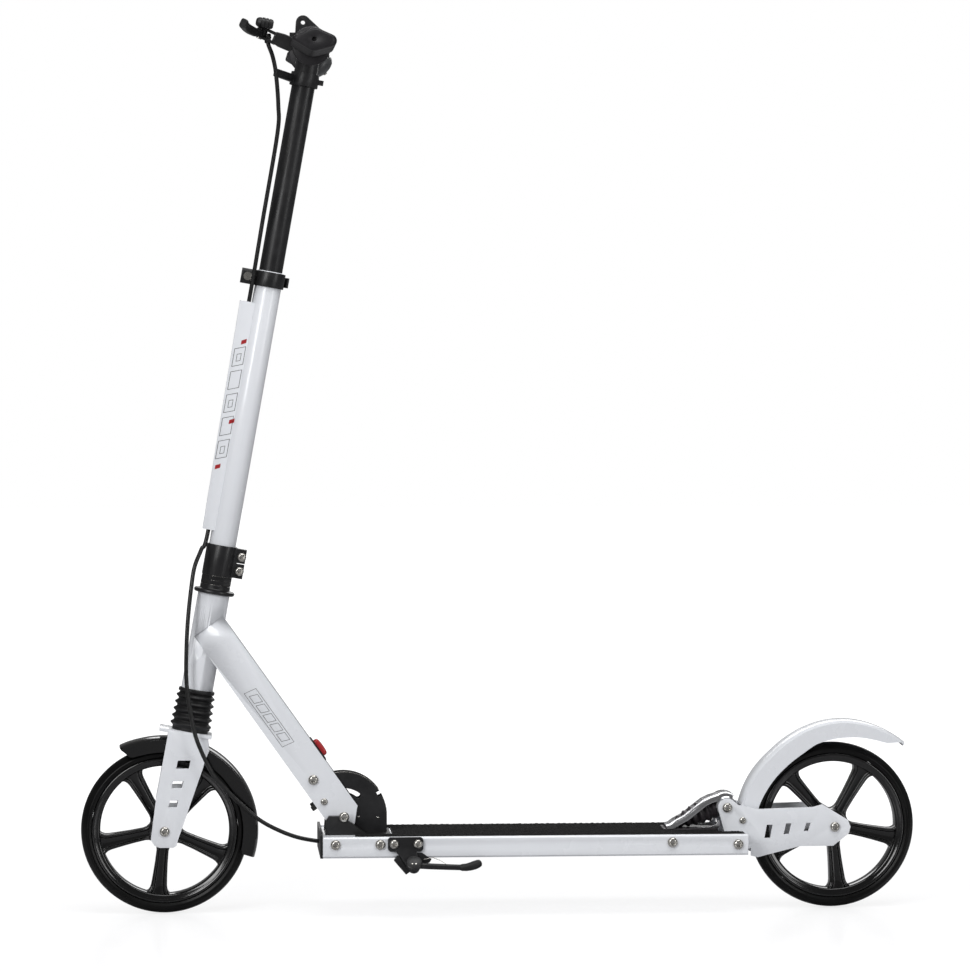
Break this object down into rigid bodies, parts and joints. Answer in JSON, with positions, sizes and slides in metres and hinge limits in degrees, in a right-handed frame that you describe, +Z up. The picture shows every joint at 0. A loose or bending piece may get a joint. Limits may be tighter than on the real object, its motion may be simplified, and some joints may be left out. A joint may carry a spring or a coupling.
{
  "type": "kick scooter",
  "caption": "Folding kick scooter with a height-adjustable handlebar, hand brake, sprung fork, sprung rear arm, flat deck, rear fender and kickstand.",
  "frame": {"origin": "On the ground, midway between the two axles, in the scooter's middle plane", "axes": "+X runs to the rear, so the front wheel is at -X; +Y is the rider's right; +Z is up"},
  "size_m": [1.005, 0.38, 1.0733],
  "materials": {
    "white_paint": "glossy",
    "black_paint": "satin",
    "black_plastic": "matte",
    "gloss_black": "glossy",
    "tyre_black": "glossy moulded polyurethane",
    "rubber_black": "matte",
    "grip_black": "matte",
    "grip_tape": "rough",
    "steel": "zinc plated",
    "aluminium": "brushed",
    "red_plastic": "glossy",
    "bell_grey": "satin",
    "cable_black": "satin",
    "shock_grey": "satin"
  },
  "bodies": {
    "deck": {"deck_shell": "white_paint", "deck_grip": "grip_tape", "deck_front_plate": "black_plastic", "fold_clevis": "black_plastic", "fold_plates": "black_paint", "fold_bolt": "steel", "deck_bolts": "steel", "kickstand_bracket": "black_paint", "shock_bracket": "aluminium", "shock_cover": "aluminium", "shock_spring": "shock_grey", "brake_cable_deck": "cable_black"},
    "neck": {"neck": "white_paint", "headset_cups": "black_paint", "latch_base": "black_plastic", "neck_bumper": "rubber_black", "neck_bolts": "steel", "brake_cable_lower": "cable_black"},
    "button": {"latch_button": "red_plastic"},
    "pawl": {"lock_pawl": "steel"},
    "stem": {"steerer_tube": "steel", "headset_nuts": "black_paint", "lower_clamp": "black_paint", "stem_tube": "white_paint", "cable_guard": "white_paint", "height_collar": "black_paint", "stem_bolts": "steel"},
    "clamp_lever": {"quick_lever": "black_paint"},
    "column": {"column_tube": "black_paint", "handlebar": "black_paint", "grips": "grip_black", "strap_eye": "black_paint", "cable_clip": "black_paint", "lever_perch": "black_paint", "lever_pin": "steel", "bell_base": "black_plastic", "bell_dome": "bell_grey", "brake_cable_upper": "cable_black"},
    "hand_lever": {"brake_lever": "black_paint"},
    "bell_lever": {"bell_hammer": "black_plastic"},
    "fork": {"fork": "white_paint", "fork_guide": "steel", "fork_spring": "steel", "bellows": "rubber_black", "front_fender": "gloss_black", "front_axle": "steel"},
    "front_wheel": {"front_rim": "gloss_black", "front_tyre": "tyre_black", "front_bearings": "steel"},
    "rear_arm": {"swingarm": "white_paint", "shock_rod": "steel", "arm_bolts": "steel", "rear_axle": "steel"},
    "rear_wheel": {"rear_rim": "gloss_black", "rear_tyre": "tyre_black", "rear_bearings": "steel"},
    "foot_brake": {"rear_fender": "white_paint"},
    "kickstand": {"kickstand_leg": "black_paint", "kickstand_foot": "rubber_black"},
    "tyre_brake": {"brake_arm": "black_paint"}
  },
  "joints": [
    {"name": "fold", "type": "hinge", "parent": "deck", "child": "neck", "pos_m": [-0.1887, 0, 0.1166], "axis": [0, 1, 0], "range_deg": [0, 85], "deforming": ["brake_cable_lower"]},
    {"name": "pawl_turn", "type": "hinge", "parent": "neck", "child": "pawl", "pos_m": [-0.22499, 0, 0.16001], "axis": [0, 1, 0], "range_deg": [0, 18.2]},
    {"name": "button_press", "type": "slide", "parent": "neck", "child": "button", "axis": [0.8158, 0, 0.5783], "range_m": [0, 0.0045]},
    {"name": "steering", "type": "hinge", "parent": "neck", "child": "stem", "pos_m": [-0.35317, 0, 0.32644], "axis": [0.1754, 0, 0.9845], "range_deg": [-60, 60], "deforming": ["brake_cable_lower"]},
    {"name": "height", "type": "slide", "parent": "stem", "child": "column", "axis": [0.1754, 0, 0.9845], "range_m": [-0.2, 0], "deforming": ["brake_cable_upper"]},
    {"name": "quick_release", "type": "hinge", "parent": "stem", "child": "clamp_lever", "pos_m": [-0.30195, 0.014, 0.76221], "axis": [0.1754, 0, 0.9845], "range_deg": [0, 95]},
    {"name": "hand_brake", "type": "hinge", "parent": "column", "child": "hand_lever", "pos_m": [-0.28198, -0.062, 1.0567], "axis": [0.4226, 0, 0.9063], "range_deg": [0, 22], "stiffness_Nm_per_rad": 0.6, "springref_deg": -8.59},
    {"name": "bell_ring", "type": "hinge", "parent": "column", "child": "bell_lever", "pos_m": [-0.21879, 0.046, 1.02046], "axis": [0.6293, 0, -0.7771], "range_deg": [0, 35], "stiffness_Nm_per_rad": 0.02, "springref_deg": -5.73},
    {"name": "front_shock", "type": "slide", "parent": "stem", "child": "fork", "axis": [0.1754, 0, 0.9845], "range_m": [0, 0.018], "stiffness_N_per_m": 9000, "springref_m": -0.008, "deforming": ["bellows", "fork_spring"]},
    {"name": "front_roll", "type": "hinge", "parent": "fork", "child": "front_wheel", "pos_m": [-0.4025, 0, 0.1], "axis": [0, 1, 0], "continuous": true},
    {"name": "rear_shock", "type": "hinge", "parent": "deck", "child": "rear_arm", "pos_m": [0.281, 0, 0.084], "axis": [0, -1, 0], "range_deg": [0, 6], "stiffness_Nm_per_rad": 150, "springref_deg": -4.58, "deforming": ["shock_spring"]},
    {"name": "rear_roll", "type": "hinge", "parent": "rear_arm", "child": "rear_wheel", "pos_m": [0.4025, 0, 0.1], "axis": [0, 1, 0], "continuous": true},
    {"name": "foot_brake_press", "type": "hinge", "parent": "rear_arm", "child": "foot_brake", "pos_m": [0.2906, 0, 0.1085], "axis": [0, 1, 0], "range_deg": [0, 2.5], "stiffness_Nm_per_rad": 12, "springref_deg": -2.86},
    {"name": "stand_swing", "type": "hinge", "parent": "deck", "child": "kickstand", "pos_m": [-0.1075, -0.074, 0.0624], "axis": [0, 0.766, -0.6428], "range_deg": [0, 110]},
    {"name": "tyre_brake_turn", "type": "hinge", "parent": "rear_arm", "child": "tyre_brake", "pos_m": [0.2906, 0, 0.1085], "axis": [0, -1, 0], "range_deg": [0, 5]}
  ],
  "couplings": [
    {"joint": "pawl_turn", "follows": "button_press", "rad_per_m": 70.589},
    {"joint": "tyre_brake_turn", "follows": "hand_brake", "ratio": 0.22727}
  ]
}
